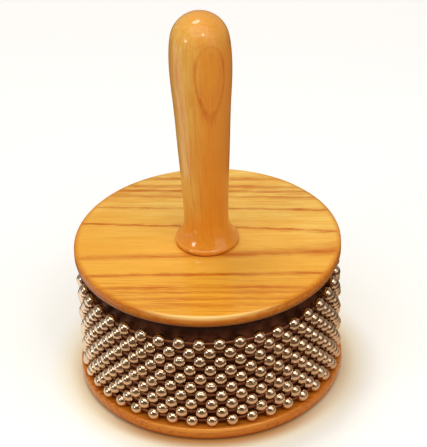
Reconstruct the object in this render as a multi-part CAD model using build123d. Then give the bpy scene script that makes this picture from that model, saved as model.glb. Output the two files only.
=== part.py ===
# Cabasa: a hand-held scraped rattle. Loops of ball chain hang round a steel-wrapped wooden drum
# between two turned discs, and a turned handle stands on the upper disc.
# Millimetres, +Z up along the handle; the origin is the centre of the lower disc's underside.
import os
from math import degrees, pi, radians, sin, sqrt

from build123d import *

# Discs
disc_radius = 57.0
disc_thickness = 6.2
rim_lower_round = 2.6
rim_upper_round = 1.0

# Ball chain loops
bead_dia = 5.6
link_gap = 2.85
link_wire_dia = 1.3
link_bury = 0.9
bead_inset = 0.3
loop_count = 10
nest_clearance = 0.5
rest_clearance = 0.2
loop_headroom = 6.7
front_bead_turn = -0.7

# Sheet steel sleeve round the drum, its seam lapped at the back
loop_play = 0.8
sleeve_sheet = 0.4
sleeve_fit = 0.05
sleeve_end_clearance = 0.1
lap_width = 9.0
joggle_width = 2.0

# Tacks through the seam
tack_count = 4
tack_dia = 1.2
tack_length = 9.0
tack_head_dia = 2.6
tack_head_height = 0.35
tack_end_margin = 7.0

# Handle, from its seat on the upper disc to the top of its dome
foot_radius = 13.6
foot_undercut = 1.1
foot_lip = 0.75
foot_bead_height = 2.6
cove_height = 9.4
neck_radius = 9.5
grip_lower_length = 32.7
grip_lower_radius = 10.84
grip_middle_length = 23.3
grip_middle_radius = 12.02
grip_upper_length = 25.6
bulge_radius = 12.8
bulge_upper_length = 6.12
dome_radius = 12.3
dome_start_angle = 12.0
tenon_wall = 3.5
tenon_depth_in_core = 12.0
tenon_chamfer = 1.0

# Bolt up the middle, its washer, and the brass insert in the tenon that takes it
bolt_dia = 6.0
bolt_head_dia = 17.0
bolt_head_height = 2.4
bolt_head_chamfer = 0.6
bolt_socket_flats = 4.0
bolt_socket_depth = 1.5
bolt_head_recess = 0.6
bolt_tip_margin = 2.5
washer_dia = 18.0
washer_thickness = 1.2
insert_dia = 10.0
insert_length = 15.0
insert_chamfer = 0.6

# Screws that hold the lower disc, and dowels that locate the upper one
screw_count = 4
screw_edge_distance = 13.5
screw_dia = 3.5
screw_length = 24.0
screw_head_dia = 7.0
screw_head_height = 2.4
screw_point_length = 5.0
screw_recess = 0.3
screw_cross_span = 4.0
screw_cross_width = 0.9
screw_cross_depth = 1.2
dowel_count = 2
dowel_edge_distance = 17.5
dowel_dia = 6.0
dowel_length = 19.0
dowel_chamfer = 0.5
dowel_skin = 2.0
dowel_end_room = 0.5

# Clearances on the radius
joint_clearance = 0.05
bolt_clearance = 0.3
washer_clearance = 0.5

# Bead lattice: a bead rests in the saddle of the loop below, or on the bead two loops below
# where the links are long enough to let it drop between
bead_ring_radius = disc_radius - bead_inset - bead_dia / 2
beads_per_loop = round(2 * pi * bead_ring_radius / (bead_dia + link_gap))
bead_step_angle = 360 / beads_per_loop
bead_pitch = 2 * bead_ring_radius * sin(pi / beads_per_loop)
half_step_chord = 2 * bead_ring_radius * sin(pi / beads_per_loop / 2)
nest_distance = bead_dia + nest_clearance
saddle_rise = sqrt(max(nest_distance**2 - half_step_chord**2, 0))
row_step = max(saddle_rise, nest_distance / 2)

# Levels that the pieces share
drum_bottom = disc_thickness
lowest_bead_level = drum_bottom + rest_clearance + bead_dia / 2
highest_bead_level = lowest_bead_level + (loop_count - 1) * row_step
drum_top = highest_bead_level + bead_dia / 2 + loop_headroom
handle_seat = drum_top + disc_thickness
washer_level = bolt_head_recess + bolt_head_height
bolt_seat = washer_level + washer_thickness
tenon_end = drum_top - tenon_depth_in_core
insert_top = tenon_end + insert_length
dowel_hole_top = handle_seat - dowel_skin
dowel_top = dowel_hole_top - dowel_end_room
dowel_bottom = dowel_top - dowel_length

# Radii that the pieces share
lap_outer_radius = bead_ring_radius - bead_dia / 2 - loop_play
lap_inner_radius = lap_outer_radius - sleeve_sheet
sleeve_outer_radius = lap_inner_radius - sleeve_fit
sleeve_inner_radius = sleeve_outer_radius - sleeve_sheet
core_radius = sleeve_inner_radius - sleeve_fit
tenon_radius = insert_dia / 2 + tenon_wall
bolt_hole_radius = bolt_dia / 2 + bolt_clearance
tack_seat_radius = lap_outer_radius + joint_clearance


# A solid cylinder that stands on a level
def column(radius, bottom, height):
    return Pos(0, 0, bottom) * Cylinder(radius, height, align=(Align.CENTER, Align.CENTER, Align.MIN))


# A solid turned about Z from a closed outline of radius and height
def turned(outline):
    return revolve(Plane.XZ * make_face(outline), Axis.Z)


# Places of the screws in the lower disc, and of the dowels in the upper one
def screw_places():
    return PolarLocations(core_radius - screw_edge_distance, screw_count, start_angle=45)


def dowel_places():
    return PolarLocations(core_radius - dowel_edge_distance, dowel_count)


# Places of the tacks up the seam, at the back of the drum
def tack_places():
    first = drum_bottom + tack_end_margin
    spacing = (drum_top - tack_end_margin - first) / (tack_count - 1)
    return [Pos(0, tack_seat_radius, first + i * spacing) * Rot(90, 0, 0) for i in range(tack_count)]


# Countersunk wood screw with its head at Z = 0 and its point up; its hole is the same form, grown
def wood_screw(grow):
    head_radius = screw_head_dia / 2 + grow
    shank_radius = screw_dia / 2 + grow
    outline = Polyline(
        (0, 0),
        (head_radius, 0),
        (shank_radius, screw_head_height),
        (shank_radius, screw_length - screw_point_length),
        (0, screw_length + grow),
        close=True,
    )
    return turned(outline)


# The screw itself has a cross recess in its head
def make_disc_screw():
    arm = Box(screw_cross_span, screw_cross_width, 2 * screw_cross_depth)
    return wood_screw(0) - arm - Rot(0, 0, 90) * arm


# A disc with a crisp upper edge and a rounded lower one
def rounded_disc(bottom):
    disc = column(disc_radius, bottom, disc_thickness)
    disc = fillet(disc.edges().group_by(Axis.Z)[0], rim_lower_round)
    return fillet(disc.edges().group_by(Axis.Z)[-1], rim_upper_round)


# Lower disc: counterbored for the bolt's head and washer, countersunk for the screws
def make_lower_disc():
    disc = rounded_disc(0)
    disc -= column(washer_dia / 2 + washer_clearance, 0, bolt_seat)
    disc -= column(bolt_hole_radius, 0, disc_thickness)
    hole = Pos(0, 0, screw_recess) * wood_screw(joint_clearance)
    hole += column(screw_head_dia / 2 + joint_clearance, 0, screw_recess)
    return disc - screw_places() * hole


# Upper disc: bored for the handle's tenon, with blind dowel holes in its underside
def make_upper_disc():
    disc = rounded_disc(drum_top)
    disc -= column(tenon_radius + joint_clearance, drum_top, disc_thickness)
    hole = column(dowel_dia / 2 + joint_clearance, drum_top, dowel_hole_top - drum_top)
    return disc - dowel_places() * hole


# Core of the drum: a wooden block with the tenon's socket, the bolt's bore and the pilot holes
def make_core_block():
    core = column(core_radius, drum_bottom, drum_top - drum_bottom)
    core -= column(tenon_radius + joint_clearance, tenon_end, tenon_depth_in_core)
    core -= column(bolt_hole_radius, drum_bottom, tenon_end - drum_bottom)
    dowel_hole_bottom = dowel_bottom - dowel_end_room
    core -= dowel_places() * column(dowel_dia / 2 + joint_clearance, dowel_hole_bottom, drum_top - dowel_hole_bottom)
    core -= screw_places() * (Pos(0, 0, screw_recess) * wood_screw(joint_clearance))
    return core - [place * tack(joint_clearance) for place in tack_places()]


# Sleeve: one strip of sheet wrapped round the core, its end joggled out to lap over its start
def make_drum_sleeve():
    lap_angle = degrees(lap_width / sleeve_outer_radius)
    joggle_angle = degrees(joggle_width / sleeve_outer_radius)
    start = 90 - lap_angle / 2
    inner_run = CenterArc((0, 0), sleeve_inner_radius, start, 360 - joggle_angle)
    outer_run = CenterArc((0, 0), sleeve_outer_radius, start, 360 - joggle_angle)
    lap_inner = CenterArc((0, 0), lap_inner_radius, start, lap_angle)
    lap_outer = CenterArc((0, 0), lap_outer_radius, start, lap_angle)
    edges = [inner_run, outer_run, lap_inner, lap_outer]
    edges.append(Line(inner_run @ 0, outer_run @ 0))
    edges.append(Line(inner_run @ 1, lap_inner @ 0))
    edges.append(Line(outer_run @ 1, lap_outer @ 0))
    edges.append(Line(lap_inner @ 1, lap_outer @ 1))
    height = drum_top - drum_bottom - 2 * sleeve_end_clearance
    sleeve = Pos(0, 0, drum_bottom + sleeve_end_clearance) * extrude(make_face(edges), height)
    return sleeve - [place * tack(joint_clearance) for place in tack_places()]


# Tack: a flat head on the lap and a pointed shank into the core, along +Z from under its head
def tack(grow):
    shank_radius = tack_dia / 2 + grow
    outline = Polyline(
        (0, -tack_head_height),
        (tack_head_dia / 2, -tack_head_height),
        (tack_head_dia / 2, 0),
        (shank_radius, 0),
        (shank_radius, tack_length - tack_dia),
        (0, tack_length + grow),
        close=True,
    )
    return turned(outline)


# Handle: turned in one piece with its tenon, and bored at the end for the insert
def make_handle():
    foot_top = handle_seat + foot_bead_height
    neck_level = foot_top + cove_height
    lower_level = neck_level + grip_lower_length
    middle_level = lower_level + grip_middle_length
    bulge_level = middle_level + grip_upper_length
    dome_level = bulge_level + bulge_upper_length - dome_radius * sin(radians(dome_start_angle))
    tenon = Polyline(
        (0, tenon_end),
        (tenon_radius - tenon_chamfer, tenon_end),
        (tenon_radius, tenon_end + tenon_chamfer),
        (tenon_radius, handle_seat),
        (foot_radius - foot_undercut, handle_seat),
    )
    foot_middle = (foot_radius, handle_seat + foot_bead_height / 2)
    foot = ThreePointArc(tenon @ 1, foot_middle, (foot_radius - foot_lip, foot_top))
    cove = TangentArc((neck_radius, neck_level), foot @ 1, tangent=(0, -1))
    dome = CenterArc((0, dome_level), dome_radius, dome_start_angle, 90 - dome_start_angle)
    grip = Spline(
        (neck_radius, neck_level),
        (grip_lower_radius, lower_level),
        (grip_middle_radius, middle_level),
        (bulge_radius, bulge_level),
        dome @ 0,
        tangents=((0, 1), dome % 0),
    )
    axis = Line(dome @ 1, tenon @ 0)
    handle = turned([tenon, foot, cove, grip, dome, axis])
    bore_radius = insert_dia / 2 + joint_clearance
    return handle - column(bore_radius, tenon_end, insert_length + joint_clearance)


# Brass insert, flush with the end of the tenon
def make_threaded_insert():
    insert = column(insert_dia / 2, tenon_end, insert_length)
    insert = chamfer(insert.edges().filter_by(GeomType.CIRCLE), insert_chamfer)
    return insert - column(bolt_dia / 2 + joint_clearance, tenon_end, insert_length)


# Bolt: a flat head with a hexagon socket, and a shank that ends inside the insert
def make_through_bolt():
    head = column(bolt_head_dia / 2, bolt_head_recess, bolt_head_height)
    head = chamfer(head.edges().group_by(Axis.Z)[0], bolt_head_chamfer)
    shank = column(bolt_dia / 2, washer_level, insert_top - bolt_tip_margin - washer_level)
    shank = chamfer(shank.edges().group_by(Axis.Z)[-1], bolt_head_chamfer)
    hexagon = RegularPolygon(bolt_socket_flats / 2, 6, major_radius=False)
    return head + shank - Pos(0, 0, bolt_head_recess) * extrude(hexagon, bolt_socket_depth)


def make_flat_washer():
    washer = column(washer_dia / 2, washer_level, washer_thickness)
    return washer - column(bolt_hole_radius, washer_level, washer_thickness)


def make_dowel():
    dowel = column(dowel_dia / 2, dowel_bottom, dowel_length)
    return chamfer(dowel.edges().filter_by(GeomType.CIRCLE), dowel_chamfer)


# One loop of ball chain at Z = 0: balls joined by straight wire links whose ends are in the balls
def make_bead_loop():
    beads = PolarLocations(bead_ring_radius, beads_per_loop) * Sphere(bead_dia / 2)
    link_length = bead_pitch - bead_dia + 2 * link_bury
    link = Rot(90, 0, 0) * Cylinder(link_wire_dia / 2, link_length)
    link_circle_radius = sqrt(bead_ring_radius**2 - (bead_pitch / 2) ** 2)
    links = PolarLocations(link_circle_radius, beads_per_loop, start_angle=bead_step_angle / 2) * link
    return Part() + beads + links


nodes = {
    "handle": make_handle(),
    "threaded_insert": make_threaded_insert(),
    "upper_disc": make_upper_disc(),
    "core_block": make_core_block(),
    "locating_dowels": Compound(dowel_places() * make_dowel()),
    "drum_sleeve": make_drum_sleeve(),
    "seam_tacks": Compound([place * tack(0) for place in tack_places()]),
    "lower_disc": make_lower_disc(),
    "disc_screws": Compound(screw_places() * (Pos(0, 0, screw_recess) * make_disc_screw())),
    "through_bolt": make_through_bolt(),
    "flat_washer": make_flat_washer(),
}

# Loops from the lowest up, each turned by half a bead from the one below so that they nest
bead_loop = make_bead_loop()
for row in range(loop_count):
    turn = -90 + front_bead_turn + bead_step_angle / 2 * (row % 2)
    place = Pos(0, 0, lowest_bead_level + row * row_step) * Rot(0, 0, turn)
    nodes[f"bead_loop_{row + 1:02d}"] = place * bead_loop

os.makedirs("parts", exist_ok=True)
for name, shape in nodes.items():
    export_step(shape, f"parts/{name}.step")
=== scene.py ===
import math
import random

import bpy
from mathutils import Matrix, Vector


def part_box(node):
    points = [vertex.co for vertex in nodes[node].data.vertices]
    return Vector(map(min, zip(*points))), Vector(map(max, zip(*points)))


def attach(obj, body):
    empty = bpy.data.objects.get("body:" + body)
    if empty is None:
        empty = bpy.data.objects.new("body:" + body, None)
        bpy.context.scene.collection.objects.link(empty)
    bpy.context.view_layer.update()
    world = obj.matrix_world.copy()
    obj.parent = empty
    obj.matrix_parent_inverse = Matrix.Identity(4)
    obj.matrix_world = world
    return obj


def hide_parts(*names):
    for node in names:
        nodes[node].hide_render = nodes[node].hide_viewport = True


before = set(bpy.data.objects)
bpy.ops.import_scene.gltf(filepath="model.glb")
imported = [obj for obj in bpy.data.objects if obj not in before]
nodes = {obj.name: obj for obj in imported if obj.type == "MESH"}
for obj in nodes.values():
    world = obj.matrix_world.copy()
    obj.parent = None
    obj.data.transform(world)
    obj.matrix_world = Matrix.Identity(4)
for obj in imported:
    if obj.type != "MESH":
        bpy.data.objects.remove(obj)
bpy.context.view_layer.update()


# Core of the drum and the dowels that locate the upper disc on it.
# Both are plain, unfinished softwood: the core is turned to size on the outside and sawn at its ends,
# and the dowels are bought in, cut to length and glued.
def place(tree, kind, settings, inputs):
    """A shader node; each input is a plain value, or another node's socket to link from."""
    node = tree.nodes.new("ShaderNode" + kind)
    for name, value in settings.items():
        setattr(node, name, value)
    for key, value in inputs.items():
        if isinstance(value, bpy.types.NodeSocket):
            tree.links.new(value, node.inputs[key])
        else:
            node.inputs[key].default_value = value
    return node


def maths(tree, operation, first, second=0.0, clamp=False):
    """The result of one sum on two values or sockets."""
    settings = {"operation": operation, "use_clamp": clamp}
    return place(tree, "Math", settings, {0: first, 1: second}).outputs[0]


def scaled(tree, value, gain, base):
    """A value times a gain, plus a base."""
    return maths(tree, "ADD", maths(tree, "MULTIPLY", value, gain), base)


def vector_maths(tree, operation, first, second=(0, 0, 0)):
    """The result of one sum on two vectors: a value for a length or a dot product, or else a vector."""
    result = "Value" if operation in ("LENGTH", "DOT_PRODUCT") else "Vector"
    return place(tree, "VectorMath", {"operation": operation}, {0: first, 1: second}).outputs[result]


def blended(tree, share, first, second):
    """A colour between two colours or colour sockets."""
    settings = {"data_type": "RGBA", "clamp_factor": True}
    return place(tree, "Mix", settings, {0: share, 6: first, 7: second}).outputs[2]


def noise(tree, coords, scale, detail, roughness=0.5):
    """Cloudy noise round a middle of 0.5, with about this many lumps to a unit."""
    inputs = {"Vector": coords, "Scale": scale, "Detail": detail, "Roughness": roughness}
    return place(tree, "TexNoise", {}, inputs).outputs[0]


def piece_coords(tree):
    """The place on a piece, in metres."""
    return place(tree, "TexCoord", {}, {}).outputs["Object"]


def new_material(name):
    """A material with only its Principled shader, and the node tree that feeds it."""
    material = bpy.data.materials.new(name)
    material.use_nodes = True
    tree = material.node_tree
    return material, tree, tree.nodes["Principled BSDF"]


def add_bump(tree, shader, height, strength, depth):
    """Fine relief in the shading, of this depth in metres."""
    bump = place(tree, "Bump", {}, {"Strength": strength, "Distance": depth, "Height": height})
    tree.links.new(bump.outputs[0], shader.inputs["Normal"])


def give(material, *names):
    """Puts a material on CAD nodes in place of the plain one that they came with."""
    for name in names:
        nodes[name].data.materials.clear()
        nodes[name].data.materials.append(material)


# The grain of any wood here: growth rings round a pith line along X, in millimetres, with fibres along X.
mm_per_m = 1000.0
noise_middle = 0.5
slow_wave_mm, quick_wave_mm = 4.5, 3.2
grain = bpy.data.node_groups.new("Wood grain", "ShaderNodeTree")
grain.interface.new_socket("Log Position", in_out="INPUT", socket_type="NodeSocketVector")
log_place = grain.nodes.new("NodeGroupInput").outputs[0]


def grain_noise(along, scale, detail, roughness=0.55):
    """Noise drawn out along the grain, where its scale is this share of its scale across."""
    drawn_out = vector_maths(grain, "MULTIPLY", log_place, (along, 1, 1))
    return noise(grain, drawn_out, scale, detail, roughness)


def swing(value):
    """Noise as a swing to both sides of zero."""
    return maths(grain, "SUBTRACT", value, noise_middle)


def peaks(value, start, gain):
    """The part of a noise over a start, raised by a gain and held at 1."""
    return maths(grain, "MULTIPLY", maths(grain, "SUBTRACT", value, start), gain, clamp=True)


across = vector_maths(grain, "MULTIPLY", log_place, (0, 1, 1))
off_pith = place(grain, "SeparateXYZ", {}, {0: log_place}).outputs[1]
slow_wave = maths(grain, "MULTIPLY", swing(grain_noise(along=0.4, scale=0.045, detail=1.5)), slow_wave_mm)
quick_wave = maths(grain, "MULTIPLY", swing(grain_noise(along=0.3, scale=0.4, detail=2.5)), quick_wave_mm)
grain_parts = {
    "Ring Radius": vector_maths(grain, "LENGTH", across),
    "Wave": maths(grain, "ADD", slow_wave, quick_wave),
    "Fibres": grain_noise(along=0.04, scale=0.9, detail=4.0, roughness=0.65),
    "Streaks": peaks(grain_noise(along=0.035, scale=1.2, detail=2.0), start=0.5, gain=5.0),
    "Pores": peaks(grain_noise(along=0.06, scale=3.2, detail=1.0), start=0.56, gain=7.0),
    "Cloud": grain_noise(along=0.3, scale=0.035, detail=2.0),
    "Breaks": grain_noise(along=0.35, scale=0.11, detail=2.0),
    "Feather": swing(grain_noise(along=0.15, scale=1.0, detail=3.0)),
    "Far Side": maths(grain, "GREATER_THAN", off_pith, 0.0),
}
for part in grain_parts:
    grain.interface.new_socket(part, in_out="OUTPUT", socket_type="NodeSocketFloat")
grain_end = grain.nodes.new("NodeGroupOutput")
for part, socket in grain_parts.items():
    grain.links.new(socket, grain_end.inputs[part])


def placed_grain(tree, pith, turn):
    """The grain group in a material: a point of the pith line in metres, and the turn of the log off X."""
    moved = vector_maths(tree, "SUBTRACT", piece_coords(tree), pith)
    settings = {"rotation_type": "EULER_XYZ", "invert": True}
    turned = place(tree, "VectorRotate", settings, {"Vector": moved, "Rotation": turn}).outputs[0]
    node = tree.nodes.new("ShaderNodeGroup")
    node.node_tree = grain
    tree.links.new(vector_maths(tree, "MULTIPLY", turned, (mm_per_m, mm_per_m, mm_per_m)), node.inputs[0])
    return node.outputs


early_wood, late_wood = (0.66, 0.44, 0.22, 1), (0.42, 0.23, 0.09, 1)
bare_fibre, fibre_share = (0.78, 0.58, 0.33, 1), 0.35
years_per_mm, late_sharpness = 0.28, 3.0
softwood, tree, shader = new_material("core softwood")
wood = placed_grain(tree, pith=(0.0, 0.11, 0.02), turn=(0.02, 0.03, 0.0))
years = maths(tree, "MULTIPLY", maths(tree, "ADD", wood["Ring Radius"], wood["Wave"]), years_per_mm)
late = maths(tree, "POWER", maths(tree, "FRACT", years), late_sharpness)
colour = blended(tree, late, early_wood, late_wood)
colour = blended(tree, maths(tree, "MULTIPLY", wood["Fibres"], fibre_share), colour, bare_fibre)
tree.links.new(colour, shader.inputs["Base Color"])
tree.links.new(scaled(tree, wood["Fibres"], gain=0.2, base=0.6), shader.inputs["Roughness"])
add_bump(tree, shader, wood["Fibres"], strength=0.3, depth=0.0002)
give(softwood, "core_block", "locating_dowels")


# Sleeve of the drum, which the balls scrape on.
# One strip of thin sheet steel wrapped round the core, rolled with fine crossed lines and dulled by the
# balls; it is held by tacks through its lapped seam at the back.
def ranged(tree, value, start, end, low=0.0, high=1.0, smooth=False):
    """A value as it goes from start to end, turned into one that goes from low to high and is held there."""
    settings = {"interpolation_type": "SMOOTHSTEP" if smooth else "LINEAR"}
    return place(tree, "MapRange", settings, {0: value, 1: start, 2: end, 3: low, 4: high}).outputs[0]


sleeve_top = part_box("drum_sleeve")[1].z
sleeve_radius_mm, line_radians_per_mm = 50.0, 4.0
stained, scraped, rub_range = (0.12, 0.040, 0.019, 1), (0.42, 0.150, 0.070, 1), (0.38, 0.66)
# Painted shade: the sleeve goes nearly black towards its top, just under the upper disc, where the disc's
# shadow falls.
painted_top_shade, top_shade_share = (0.010, 0.005, 0.004, 1), 0.95
top_shade_start, top_shade_full = sleeve_top - 0.010, sleeve_top - 0.004
sheet, tree, shader = new_material("worn sheet steel")
coords = piece_coords(tree)
split = place(tree, "SeparateXYZ", {}, {0: coords}).outputs
arc_mm = maths(tree, "MULTIPLY", maths(tree, "ARCTAN2", split[1], split[0]), sleeve_radius_mm)
level_mm = maths(tree, "MULTIPLY", split[2], mm_per_m)
rising = maths(tree, "MULTIPLY", maths(tree, "ADD", arc_mm, level_mm), line_radians_per_mm)
falling = maths(tree, "MULTIPLY", maths(tree, "SUBTRACT", arc_mm, level_mm), line_radians_per_mm)
lines = maths(tree, "MAXIMUM", maths(tree, "SINE", rising), maths(tree, "SINE", falling))
rub = noise(tree, coords, scale=160.0, detail=5.0, roughness=0.6)
colour = blended(tree, ranged(tree, rub, *rub_range), stained, scraped)
top_shade_mask = ranged(tree, split[2], top_shade_start, top_shade_full, high=top_shade_share)
colour = blended(tree, top_shade_mask, colour, painted_top_shade)
tree.links.new(colour, shader.inputs["Base Color"])
shader.inputs["Metallic"].default_value = 0.5
tree.links.new(scaled(tree, rub, gain=0.35, base=0.18), shader.inputs["Roughness"])
add_bump(tree, shader, lines, strength=0.35, depth=0.0001)
give(sheet, "drum_sleeve")


# Bolt, washer, screws and tacks.
# Steel with a bright zinc plate: the bolt is turned up from the underside into the handle, the screws
# hold the lower disc, and the tacks hold the sleeve's seam.
grey_zinc, pale_zinc = (0.52, 0.53, 0.53, 1), (0.72, 0.72, 0.68, 1)
crystals_per_m, crystal_share = 900.0, 0.4
zinc, tree, shader = new_material("zinc plate")
coords = piece_coords(tree)
crystals = place(tree, "TexVoronoi", {}, {"Vector": coords, "Scale": crystals_per_m}).outputs["Color"]
dull = noise(tree, coords, scale=500.0, detail=4.0)
colour = blended(tree, maths(tree, "MULTIPLY", crystals, crystal_share), grey_zinc, pale_zinc)
tree.links.new(colour, shader.inputs["Base Color"])
shader.inputs["Metallic"].default_value = 1.0
tree.links.new(scaled(tree, dull, gain=0.3, base=0.2), shader.inputs["Roughness"])
add_bump(tree, shader, dull, strength=0.15, depth=0.00005)
give(zinc, "through_bolt", "flat_washer", "disc_screws", "seam_tacks")


# Threaded insert in the end of the handle's tenon.
# Turned brass, screwed and glued into the wood; it has dulled in patches since it was cut.
dull_brass, bright_brass = (0.62, 0.42, 0.13, 1), (0.80, 0.60, 0.25, 1)
brass, tree, shader = new_material("turned brass")
patches = noise(tree, piece_coords(tree), scale=700.0, detail=3.0)
tree.links.new(blended(tree, patches, dull_brass, bright_brass), shader.inputs["Base Color"])
shader.inputs["Metallic"].default_value = 1.0
tree.links.new(scaled(tree, patches, gain=0.25, base=0.2), shader.inputs["Roughness"])
give(brass, "threaded_insert")


# Upper and lower discs.
# Flat-sawn ash, turned to a rounded rim and lacquered: wide pale summer wood between dark, feathered bands
# of open spring pores, each band one year's ring round a pith far below the face.
lacquer_tint = (1.0, 0.66, 0.34, 1)
# Across one band: places in line widths, and how dark the band is there.
band_profile = ((-1.7, 0.0), (-0.5, 0.65), (0.1, 1.0), (0.6, 0.6), (1.5, 0.0))
ramp_room_mm = 6.0
wave_share, feather_mm = 0.4, 3.0
# In metres: in from a rim, aside of the middle, and, for the painted highlight, down from an upper edge and
# towards the front.
rim_start, rim_margin, side_reach = 0.0040, 0.0028, (0.012, 0.036)
highlight_start, highlight_full, highlight_last, highlight_end = 0.0026, 0.0004, 0.00008, 0.00002
highlight_reach, highlight_base = (-0.048, -0.0568), 0.45
# Ranges of the grain's noises, and the shares of a line or a colour that they give.
cloud_range, cloud_shares = (0.35, 0.65), (0.2, 0.8)
mottle_range, mottle_share = (0.42, 0.62), 0.4
fine_range, fine_share = (0.38, 0.68), 0.6
crowd_reach_mm, sparse_share = (24.0, 34.0), 0.25
patchy_breaks, fibrous_breaks = 1.8, 0.8
edge_lines, end_lines = 0.15, 0.12
end_share, rim_shade_share = 0.6, 0.9
pore_gain, pore_base, fibre_relief = 0.45, 0.1, 0.2


def ring_bands(tree, place_mm, rings, line_width):
    """How dark each place is: a ring is its place, its darkness, and its share of the line width."""
    first = rings[0][0] - ramp_room_mm
    span = rings[-1][0] + ramp_room_mm - first
    along = maths(tree, "DIVIDE", maths(tree, "SUBTRACT", place_mm, first), span)
    ramp = place(tree, "ValToRGB", {}, {0: along})
    stops = ramp.color_ramp.elements
    stops[0].color = stops[1].color = (0, 0, 0, 1)
    for ring, dark, width in rings:
        for offset, share in band_profile:
            stop = stops.new((ring + offset * line_width * width - first) / span)
            stop.color = (dark * share, dark * share, dark * share, 1)
    return ramp.outputs[0]


def face_place(tree, wood, face_depth, stray):
    """How far along the face, from the line over the pith, the ring at each point comes out."""
    square = maths(tree, "MULTIPLY", wood["Ring Radius"], wood["Ring Radius"])
    beyond_depth = maths(tree, "MAXIMUM", maths(tree, "SUBTRACT", square, face_depth ** 2), 0.0)
    straight = maths(tree, "SQRT", beyond_depth)
    waved = maths(tree, "ADD", straight, maths(tree, "MULTIPLY", wood["Wave"], wave_share * stray))
    return maths(tree, "ADD", waved, maths(tree, "MULTIPLY", wood["Feather"], feather_mm * stray))


def rim_masks(tree, coords, radius, margin_share):
    """Two masks: the margin at a rim's left and right, by this share, and all of the rim."""
    level = vector_maths(tree, "MULTIPLY", coords, (1, 1, 0))
    out = vector_maths(tree, "LENGTH", level)
    margin = ranged(tree, out, radius - rim_margin, radius, high=margin_share, smooth=True)
    aside = maths(tree, "ABSOLUTE", place(tree, "SeparateXYZ", {}, {0: coords}).outputs[0])
    at_sides = ranged(tree, aside, *side_reach, smooth=True)
    on_rim = ranged(tree, out, radius - rim_start, radius - rim_margin, smooth=True)
    return maths(tree, "MULTIPLY", margin, at_sides), on_rim


def painted_edge_highlight(tree, wood, coords, top):
    """How much painted highlight the upper edge takes, just below its top; most of all at the front."""
    split = place(tree, "SeparateXYZ", {}, {0: coords}).outputs
    above = ranged(tree, split[2], top - highlight_start, top - highlight_full, smooth=True)
    below = ranged(tree, split[2], top - highlight_last, top - highlight_end, low=1.0, high=0.0, smooth=True)
    front = ranged(tree, split[1], *highlight_reach)
    highlighted = maths(tree, "MULTIPLY", maths(tree, "MULTIPLY", above, below), front)
    return maths(tree, "MULTIPLY", highlighted, maths(tree, "ADD", wood["Breaks"], highlight_base), clamp=True)


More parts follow.
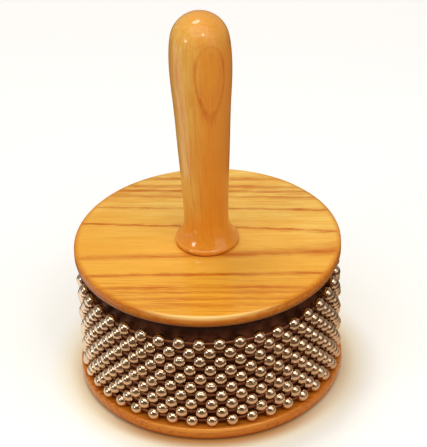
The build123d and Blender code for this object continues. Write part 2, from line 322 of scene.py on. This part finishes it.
def ash_material(name, pith, turn, rings, far_rings, face_depth, line_width, stray, gaps, streak_dark, colours,
                 edge_levels, sheen_side, sheen_reach, rim_coat, face_coat,
                 far_within=None, rim=None, end_levels=None):
    """Lacquered ash: dark bands cross a face at this depth from the pith.

    The far rings have their own list, past the pith, or nearer to it than far_within where the wood holds no
    pith. Depth and the rings' places are in millimetres, line width and stray are shares of a wide band's, and
    gaps is how much the bands break up. Levels, reaches and the rim's radius are in metres. The bands are lost
    in the edge colour below the edge levels and, on a rim, by a share in the margin at its sides; past the end
    levels they fade into end grain. A painted sheen, a paler colour, comes in towards one side of the piece. A
    rim has a painted highlight along its upper edge and goes into a painted shade at its lower one. The
    lacquer's coat has one weight on the edge, where it soaks into the end grain, and one on the face.
    """
    material, tree, shader = new_material(name)
    wood = placed_grain(tree, pith, turn)
    coords = piece_coords(tree)
    height = place(tree, "SeparateXYZ", {}, {0: coords}).outputs[2]

    face = ranged(tree, height, *edge_levels, smooth=True)
    if rim:
        lost, on_rim = rim_masks(tree, coords, rim["radius"], rim["margin_share"])
        face = maths(tree, "MULTIPLY", face, maths(tree, "SUBTRACT", 1.0, lost))
        face = maths(tree, "MAXIMUM", face, maths(tree, "SUBTRACT", 1.0, on_rim))

    place_mm = face_place(tree, wood, face_depth, stray)
    near_bands = ring_bands(tree, place_mm, rings, line_width)
    far_bands = ring_bands(tree, place_mm, far_rings, line_width)
    far_side = maths(tree, "LESS_THAN", wood["Ring Radius"], far_within) if far_within else wood["Far Side"]
    bands = place(tree, "Mix", {"data_type": "FLOAT"}, {0: far_side, 2: near_bands, 3: far_bands}).outputs[0]
    lines = maths(tree, "MULTIPLY", bands, scaled(tree, face, gain=1.0 - edge_lines, base=edge_lines))
    if end_levels:
        fade = ranged(tree, height, *end_levels, low=1.0, high=end_lines, smooth=True)
        lines = maths(tree, "MULTIPLY", lines, fade)
    patchy = maths(tree, "MULTIPLY", wood["Breaks"], patchy_breaks)
    fibrous = maths(tree, "MULTIPLY", wood["Fibres"], fibrous_breaks)
    whole = maths(tree, "SUBTRACT", maths(tree, "ADD", patchy, fibrous), gaps)
    feathered = maths(tree, "MULTIPLY", lines, whole, clamp=True)
    crowd = ranged(tree, place_mm, *crowd_reach_mm, low=sparse_share * streak_dark, high=streak_dark)
    streaks = maths(tree, "MULTIPLY", wood["Streaks"], crowd)
    open_pores = maths(tree, "MULTIPLY", wood["Pores"], scaled(tree, lines, pore_gain, pore_base))

    cloud = ranged(tree, wood["Cloud"], *cloud_range, *cloud_shares)
    colour = blended(tree, cloud, colours["pale"], colours["warm"])
    # Painted sheen: a paler colour comes in towards one side of the piece.
    outer = ranged(tree, vector_maths(tree, "DOT_PRODUCT", coords, sheen_side), *sheen_reach, smooth=True)
    colour = blended(tree, outer, colour, colours["painted_sheen"])
    mottle = ranged(tree, wood["Breaks"], *mottle_range, high=mottle_share)
    colour = blended(tree, mottle, colour, colours["warm"])
    if end_levels:
        end_grain = maths(tree, "MULTIPLY", maths(tree, "SUBTRACT", 1.0, fade), end_share)
        colour = blended(tree, end_grain, colour, colours["end"])
    colour = blended(tree, face, colours["edge"], colour)
    fine = ranged(tree, wood["Fibres"], *fine_range, high=fine_share)
    colour = blended(tree, fine, colour, colours["warm"])
    colour = blended(tree, streaks, colour, colours["band"])
    colour = blended(tree, feathered, colour, colours["band"])
    colour = blended(tree, open_pores, colour, colours["pore"])
    if rim:
        # Painted highlight along the rim's upper edge, strongest at the front.
        colour = blended(tree, painted_edge_highlight(tree, wood, coords, rim["top"]), colour, colours["worn"])
        # Painted shade: the rim goes darker towards its lower edge, where its lower rounding turns away from
        # the light.
        rim_shade_mask = ranged(tree, height, *rim["rim_shade_levels"], low=rim_shade_share, high=0.0)
        colour = blended(tree, maths(tree, "MULTIPLY", rim_shade_mask, on_rim), colour, colours["rim_shade"])
    tree.links.new(colour, shader.inputs["Base Color"])

    tree.links.new(scaled(tree, wood["Fibres"], gain=0.15, base=0.30), shader.inputs["Roughness"])
    shader.inputs["Specular IOR Level"].default_value = 0.2
    shader.inputs["Specular Tint"].default_value = lacquer_tint
    tree.links.new(scaled(tree, face, gain=face_coat - rim_coat, base=rim_coat), shader.inputs["Coat Weight"])
    shader.inputs["Coat Roughness"].default_value = 0.08
    relief = maths(tree, "SUBTRACT", maths(tree, "MULTIPLY", wood["Fibres"], fibre_relief), open_pores)
    add_bump(tree, shader, relief, strength=0.06, depth=0.0002)
    return material


upper_low, upper_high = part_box("upper_disc")
upper_top = upper_high.z
disc_radius = upper_high.x
pith_depth = 42.0
near_rings = (
    (10.7, 0.9, 1.7), (25.2, 1.0, 0.9), (34.6, 0.8, 0.9),
    (38.2, 0.6, 0.8), (42.6, 0.7, 0.9), (47.5, 0.6, 1.0),
)
far_rings = (
    (10.7, 0.95, 0.65), (25.2, 0.9, 0.7), (34.6, 0.5, 1.0),
    (39.0, 0.75, 1.0), (42.6, 0.7, 1.0), (49.2, 0.65, 1.0),
)
upper_ash = ash_material(
    "lacquered ash upper disc",
    pith=(0.0, -0.0012, upper_top - pith_depth / mm_per_m), turn=(0, 0.0137, math.radians(-3.66)),
    rings=near_rings, far_rings=far_rings, face_depth=pith_depth,
    line_width=1.25, stray=1.0, gaps=0.30, streak_dark=0.62,
    colours={
        "pale": (0.91, 0.50, 0.072, 1), "warm": (0.80, 0.355, 0.027, 1),
        "band": (0.56, 0.145, 0.008, 1), "pore": (0.40, 0.090, 0.005, 1),
        "edge": (0.52, 0.118, 0.008, 1), "painted_sheen": (0.94, 0.65, 0.16, 1),
        # Of the last two colours, the first is a painted highlight along the rim's upper edge, strongest at
        # the front, and the second a painted shade on its lower edge.
        "worn": (0.96, 0.62, 0.20, 1), "rim_shade": (0.09, 0.016, 0.003, 1),
    },
    edge_levels=(upper_top - 0.0012, upper_top - 0.0002),
    # The paler colour towards the back of the disc, set on this line, is a painted sheen.
    sheen_side=(0.3, 0.95, 0.0), sheen_reach=(-0.02, 0.042), rim_coat=0.05, face_coat=0.6,
    rim={
        "radius": disc_radius, "margin_share": 0.75, "top": upper_top,
        "rim_shade_levels": (upper_low.z + 0.0006, upper_low.z + 0.0040),
    },
)
give(upper_ash, "upper_disc")

lower_ash = ash_material(
    "lacquered ash lower disc",
    pith=(0.0, 0.012, -0.04), turn=(0, 0.015, math.radians(8)),
    rings=near_rings, far_rings=far_rings, face_depth=pith_depth,
    line_width=1.0, stray=1.0, gaps=0.40, streak_dark=0.95,
    colours={
        "pale": (0.78, 0.27, 0.026, 1), "warm": (0.68, 0.20, 0.016, 1),
        "band": (0.42, 0.10, 0.008, 1), "pore": (0.26, 0.055, 0.005, 1),
        "edge": (0.42, 0.085, 0.010, 1), "painted_sheen": (0.78, 0.30, 0.035, 1),
        # Of the last two colours, the first is a painted highlight along the rim's upper edge, strongest at
        # the front, and the second a painted shade on its lower edge.
        "worn": (0.84, 0.34, 0.05, 1), "rim_shade": (0.16, 0.030, 0.005, 1),
    },
    edge_levels=(0.0004, 0.0042),
    # The paler colour towards the back of the disc, set on this line, is a painted sheen.
    sheen_side=(0.0, 1.0, 0.0), sheen_reach=(0.0, 0.05), rim_coat=0.15, face_coat=0.6,
    rim={
        "radius": disc_radius, "margin_share": 0.0, "top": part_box("lower_disc")[1].z,
        "rim_shade_levels": (0.0002, 0.0022),
    },
)
give(lower_ash, "lower_disc")


# Handle.
# Ash turned between centres, its grain along its length, lacquered like the discs. The bulge of the grip
# cuts through the rings, so they show at the front and the back as nested ovals that close to points.
handle_pith = 25.0
pith_turn = math.radians(17)
pith_reach = handle_pith / mm_per_m
front_depths = ((-1.0, 0.3), (3.6, 0.45), (7.45, 0.8), (11.92, 1.0), (12.4, 0.2))
back_depths = ((-12.1, 0.8), (-9.9, 0.7), (-7.4, 0.6), (-5.2, 0.45))
front_width, back_width, back_start = 1.0, 1.3, 3.5
handle_ash = ash_material(
    "lacquered ash handle",
    pith=(-pith_reach * math.sin(pith_turn), pith_reach * math.cos(pith_turn), 0.12),
    turn=(0, math.radians(90), 0),
    rings=tuple((handle_pith + depth, dark, front_width) for depth, dark in front_depths),
    far_rings=tuple((handle_pith + depth, dark, back_width) for depth, dark in back_depths),
    far_within=handle_pith - back_start, face_depth=0.0,
    line_width=0.19, stray=0.24, gaps=0.72, streak_dark=0.2,
    colours={
        "pale": (0.80, 0.325, 0.040, 1), "warm": (0.74, 0.262, 0.024, 1),
        "band": (0.58, 0.125, 0.015, 1), "pore": (0.42, 0.085, 0.010, 1),
        "edge": (0.84, 0.31, 0.022, 1), "painted_sheen": (0.84, 0.50, 0.10, 1),
        "end": (0.76, 0.43, 0.10, 1),
    },
    edge_levels=(0.072, 0.09), end_levels=(0.158, 0.169),
    # The paler colour towards the left of the handle, set on this line, is a painted sheen.
    sheen_side=(-1.0, -0.15, 0.0), sheen_reach=(-0.001, 0.009), rim_coat=1.0, face_coat=0.55,
)
give(handle_ash, "handle")


# Loops of ball chain.
# Each is a closed loop of hollow balls pressed from nickel-plated strip, with a fine seam from hole to hole,
# strung on short wire links; the loops hang loose round the drum and nest in each other.
loop_count, beads_per_loop, row_shift = 10, 40, 0.5
bead_ring_radius = 0.0539
front_bead_turn = math.radians(-90.7)
bead_columns, bead_rows = 26, 15
bead_sway, bead_tilt = 0.0002, 0.12
seam_depth, seam_half_angle = 0.00005, math.radians(1.6)
hole_lip = 0.00008
lip_depth = 4 * hole_lip
wire_radius, wire_sides, wire_start = 0.00065, 10, 0.9
chance = random.Random(7)


def bead_shape(bead_radius):
    """Points and faces of one hollow ball on the Y axis: round, seamed, with a rolled lip at each hole."""
    hole = math.asin((wire_radius + hole_lip) / bead_radius)
    columns = [seam_half_angle]
    columns += [2 * math.pi * i / bead_columns for i in range(1, bead_columns)]
    columns += [2 * math.pi - seam_half_angle, 2 * math.pi]
    rings = [(bead_radius * math.cos(hole) - lip_depth, wire_radius)]
    for i in range(bead_rows + 1):
        polar = hole + (math.pi - 2 * hole) * i / bead_rows
        rings.append((bead_radius * math.cos(polar), bead_radius * math.sin(polar)))
    rings.append((-rings[0][0], wire_radius))
    points = []
    for along, out in rings:
        for column in columns:
            reach = out - (seam_depth if column == 2 * math.pi else 0.0)
            points.append((reach * math.cos(column), along, reach * math.sin(column)))
    width = len(columns)
    faces = []
    for row in range(len(rings) - 1):
        for i in range(width):
            j = (i + 1) % width
            faces.append((row * width + i, row * width + j, (row + 1) * width + j, (row + 1) * width + i))
    return points, faces


def add_wire(points, faces, start, end):
    """A straight wire link from one ball's hole to the next."""
    axis = (end - start).normalized()
    side = axis.cross(Vector((0, 0, 1))).normalized()
    top = side.cross(axis)
    base = len(points)
    for centre in (start, end):
        for i in range(wire_sides):
            angle = 2 * math.pi * i / wire_sides
            points.append(centre + wire_radius * (math.cos(angle) * side + math.sin(angle) * top))
    for i in range(wire_sides):
        j = (i + 1) % wire_sides
        faces.append((base + i, base + j, base + wire_sides + j, base + wire_sides + i))


def add_object(name, data):
    """A new object in the scene."""
    added = bpy.data.objects.new(name, data)
    bpy.context.scene.collection.objects.link(added)
    return added


bright_nickel, warm_nickel = (0.84, 0.66, 0.475, 1), (0.73, 0.55, 0.385, 1)
plating, tree, shader = new_material("worn nickel plate")
coords = piece_coords(tree)
by_bead = noise(tree, coords, scale=140.0, detail=1.0)
scuffs = noise(tree, coords, scale=900.0, detail=4.0)
tree.links.new(blended(tree, by_bead, bright_nickel, warm_nickel), shader.inputs["Base Color"])
shader.inputs["Metallic"].default_value = 1.0
tree.links.new(scaled(tree, scuffs, gain=0.16, base=0.04), shader.inputs["Roughness"])
add_bump(tree, shader, scuffs, strength=0.02, depth=0.0001)

# The links' dark brown is painted shade, for the shade between the balls; the noise only mottles that shade.
shaded_wire, paler_shaded_wire = (0.22, 0.080, 0.036, 1), (0.40, 0.160, 0.080, 1)
wire, tree, shader = new_material("dark link wire")
wire_mottle = noise(tree, piece_coords(tree), scale=1200.0, detail=3.0)
tree.links.new(blended(tree, wire_mottle, shaded_wire, paler_shaded_wire), shader.inputs["Base Color"])
shader.inputs["Metallic"].default_value = 1.0
tree.links.new(scaled(tree, wire_mottle, gain=0.3, base=0.3), shader.inputs["Roughness"])

for row in range(loop_count):
    node = f"bead_loop_{row + 1:02d}"
    low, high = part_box(node)
    bead_radius = (high.z - low.z) / 2
    level = (high.z + low.z) / 2
    shape, shape_faces = bead_shape(bead_radius)
    points, faces, centres = [], [], []
    for i in range(beads_per_loop):
        angle = front_bead_turn + 2 * math.pi * (i + row_shift * (row % 2)) / beads_per_loop
        out = bead_ring_radius + chance.uniform(-bead_sway, bead_sway)
        rise = level + chance.uniform(-bead_sway, bead_sway)
        centre = Vector((out * math.cos(angle), out * math.sin(angle), rise))
        centres.append(centre)
        spin = Matrix.Rotation(angle, 4, "Z") @ Matrix.Rotation(chance.uniform(0, 2 * math.pi), 4, "Y")
        tilt = Matrix.Rotation(chance.uniform(-bead_tilt, bead_tilt), 4, "X")
        turned = (spin @ tilt).to_3x3()
        base = len(points)
        points += [centre + turned @ Vector(point) for point in shape]
        faces += [tuple(base + corner for corner in face) for face in shape_faces]
    ball_faces = len(faces)
    for i in range(beads_per_loop):
        start, end = centres[i - 1], centres[i]
        reach = (end - start).normalized() * bead_radius * wire_start
        add_wire(points, faces, start + reach, end - reach)
    mesh = bpy.data.meshes.new(f"ball_chain_{row + 1:02d}")
    mesh.from_pydata(points, [], faces)
    mesh.shade_smooth()
    mesh.materials.append(plating)
    mesh.materials.append(wire)
    for face in mesh.polygons[ball_faces:]:
        face.material_index = 1
    chain = add_object(f"ball_chain_{row + 1:02d}", mesh)
    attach(chain, f"loop_{row + 1:02d}")
    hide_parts(node)


# Floor.
# A plain, pale sheet with a slight sheen, on which the cabasa stands. It is open under the lower disc and can
# be seen through from below, so that the underside shows.
def flat_band(name, inner, outer, level, angles, closed):
    """A flat mesh between two radii round the axis, corner by corner through these angles."""
    corners = [(reach * math.cos(a), reach * math.sin(a), level) for a in angles for reach in (inner, outer)]
    faces = []
    for i in range(len(angles) if closed else len(angles) - 1):
        j = (i + 1) % len(angles)
        faces.append((2 * i, 2 * i + 1, 2 * j + 1, 2 * j))
    mesh = bpy.data.meshes.new(name)
    mesh.from_pydata(corners, [], faces)
    return mesh


floor_inner, floor_outer, floor_steps = 0.0535, 6.0, 96
# Painted light on the floor round the drum: it is darker near the drum, a painted shade; warmer just round the
# base, a painted glow of light bounced off the wood; and brown at the foot of the lower disc, strongest at the
# front, a painted contact shadow.
shaded_near_paper, far_paper = (0.87, 0.87, 0.83, 1), (0.90, 0.90, 0.90, 1)
painted_bounce_paper, painted_contact_shadow = (0.80, 0.72, 0.50, 1), (0.50, 0.24, 0.07, 1)
far_reach, bounce_reach, contact_shadow_reach = (0.06, 0.15), (0.055, 0.074), (0.0565, 0.0640)
front_reach, shadow_behind_share = (-0.030, -0.056), 0.3
floor_glow = 0.20
floor_angles = [2 * math.pi * i / floor_steps for i in range(floor_steps)]
floor_mesh = flat_band("floor", floor_inner, floor_outer, 0.0, floor_angles, closed=True)
floor = add_object("floor", floor_mesh)
paper, tree, shader = new_material("pale floor")
coords = piece_coords(tree)
away = vector_maths(tree, "LENGTH", coords)
forward = place(tree, "SeparateXYZ", {}, {0: coords}).outputs[1]
far = ranged(tree, away, *far_reach, smooth=True)
bounce_share = ranged(tree, away, *bounce_reach, low=1.0, high=0.0, smooth=True)
contact_shadow_mask = ranged(tree, away, *contact_shadow_reach, low=1.0, high=0.0, smooth=True)
front = ranged(tree, forward, *front_reach, low=shadow_behind_share, smooth=True)
colour = blended(tree, far, shaded_near_paper, far_paper)
colour = blended(tree, bounce_share, colour, painted_bounce_paper)
colour = blended(tree, maths(tree, "MULTIPLY", contact_shadow_mask, front), colour, painted_contact_shadow)
tree.links.new(colour, shader.inputs["Base Color"])
tree.links.new(colour, shader.inputs["Emission Color"])
shader.inputs["Roughness"].default_value = 0.45
path = place(tree, "LightPath", {}, {}).outputs
mirrored = maths(tree, "MAXIMUM", path["Is Glossy Ray"], path["Is Transmission Ray"])
seen = maths(tree, "MAXIMUM", path["Is Camera Ray"], mirrored)
tree.links.new(maths(tree, "MULTIPLY", seen, floor_glow), shader.inputs["Emission Strength"])
under = place(tree, "NewGeometry", {}, {}).outputs["Backfacing"]
clear = tree.nodes.new("ShaderNodeBsdfTransparent")
either = place(tree, "MixShader", {}, {0: under, 1: shader.outputs[0], 2: clear.outputs[0]})
tree.links.new(either.outputs[0], tree.nodes["Material Output"].inputs["Surface"])
floor_mesh.materials.append(paper)


# Dark card on the floor round the drum, open at the left.
# It is a painted reflection: it keeps the dark side of the room in the bright metal and the lacquer, as a
# photographer's card does, and its pale inner edge is a painted reflection of bright floor next to the drum;
# it is seen in reflections alone, so it takes no light from the object and casts no shadow.
card_inner, card_dark, card_outer, card_lift = 0.06, 0.125, 1.4, 0.001
card_start, card_end, card_steps = math.radians(-155), math.radians(155), 28
card_pale_reflection, card_dark_reflection = (0.92, 0.72, 0.53, 1), (0.09, 0.045, 0.019, 1)
card_angles = [card_start + (card_end - card_start) * i / card_steps for i in range(card_steps + 1)]
card_mesh = flat_band("dark_card", card_inner, card_outer, card_lift, card_angles, closed=False)
card = add_object("dark_card", card_mesh)
reflection_card, tree, shader = new_material("dark card")
away = vector_maths(tree, "LENGTH", piece_coords(tree))
dark = ranged(tree, away, card_inner, card_dark)
tree.links.new(blended(tree, dark, card_pale_reflection, card_dark_reflection), shader.inputs["Base Color"])
shader.inputs["Roughness"].default_value = 0.9
card_mesh.materials.append(reflection_card)
card.visible_camera = card.visible_diffuse = card.visible_shadow = card.visible_transmission = False


# Studio light and room.
# A wide box over the front, a smaller one overhead, a weak box at the right and two small lamps, in front and
# at the left, in a room that is pale behind and warm and dim where the photographer stands.
lamp_aim = Vector((0, 0, 0.06))
white, warm_white = (1.0, 1.0, 1.0), (1.0, 0.99, 0.96)


def soft_lamp(name, direction, distance, width, height, power, colour):
    """A rectangular lamp that faces the drum."""
    lamp = bpy.data.lights.new(name, "AREA")
    lamp.shape = "RECTANGLE"
    lamp.size = width
    lamp.size_y = height
    lamp.energy = power
    lamp.color = colour
    stand = add_object(name, lamp)
    away = Vector(direction).normalized()
    stand.location = away * distance + lamp_aim
    stand.rotation_euler = away.to_track_quat("Z", "Y").to_euler()


soft_lamp("top_box", direction=(0.0, -0.40, 0.92), distance=1.4, width=1.7, height=1.1, power=11.5,
          colour=white)
soft_lamp("overhead_box", direction=(-0.12, 0.22, 0.92), distance=1.4, width=0.50, height=0.28, power=6.5,
          colour=white)
soft_lamp("front_lamp", direction=(0.23, -0.589, 0.785), distance=1.3, width=0.15, height=0.15, power=1.0,
          colour=white)
soft_lamp("left_lamp", direction=(-0.78, -0.52, 0.36), distance=1.3, width=0.24, height=0.24, power=2.0,
          colour=warm_white)
soft_lamp("right_box", direction=(0.70, -0.50, 0.45), distance=1.4, width=1.1, height=1.1, power=3.4,
          colour=warm_white)

pale_room, dim_room = (0.32, 0.30, 0.27, 1), (0.17, 0.10, 0.045, 1)
dim_side, dim_full = tuple(Vector((0.40, -0.80, 0.30)).normalized()), 0.75
world = bpy.data.worlds.new("surround")
bpy.context.scene.world = world
world.use_nodes = True
tree = world.node_tree
way = place(tree, "TexCoord", {}, {}).outputs["Generated"]
shade = ranged(tree, vector_maths(tree, "DOT_PRODUCT", way, dim_side), 0.0, dim_full, smooth=True)
background = tree.nodes["Background"]
tree.links.new(blended(tree, shade, pale_room, dim_room), background.inputs["Color"])
background.inputs["Strength"].default_value = 1.0


# Camera.
# A long lens looks down on the front of the cabasa from a little over a metre, turned slightly clockwise.
elevation = math.radians(33.55)
roll = math.radians(-2.107)
distance = 1.064
aim = Vector((0.0029, 0.0, 0.0724))
back = Vector((0, -math.cos(elevation), math.sin(elevation)))
right = Vector((1, 0, 0))
up = back.cross(right)
across_view = right * math.cos(roll) + up * math.sin(roll)
up_view = up * math.cos(roll) - right * math.sin(roll)
lens = bpy.data.cameras.new("camera")
lens.sensor_width = 36.0
lens.lens = 201.8
camera = add_object("camera", lens)
place_of_view = Matrix((across_view, up_view, back)).transposed().to_4x4()
place_of_view.translation = aim + back * distance
camera.matrix_world = place_of_view
bpy.context.scene.camera = camera
bpy.context.scene.view_settings.view_transform = "Standard"
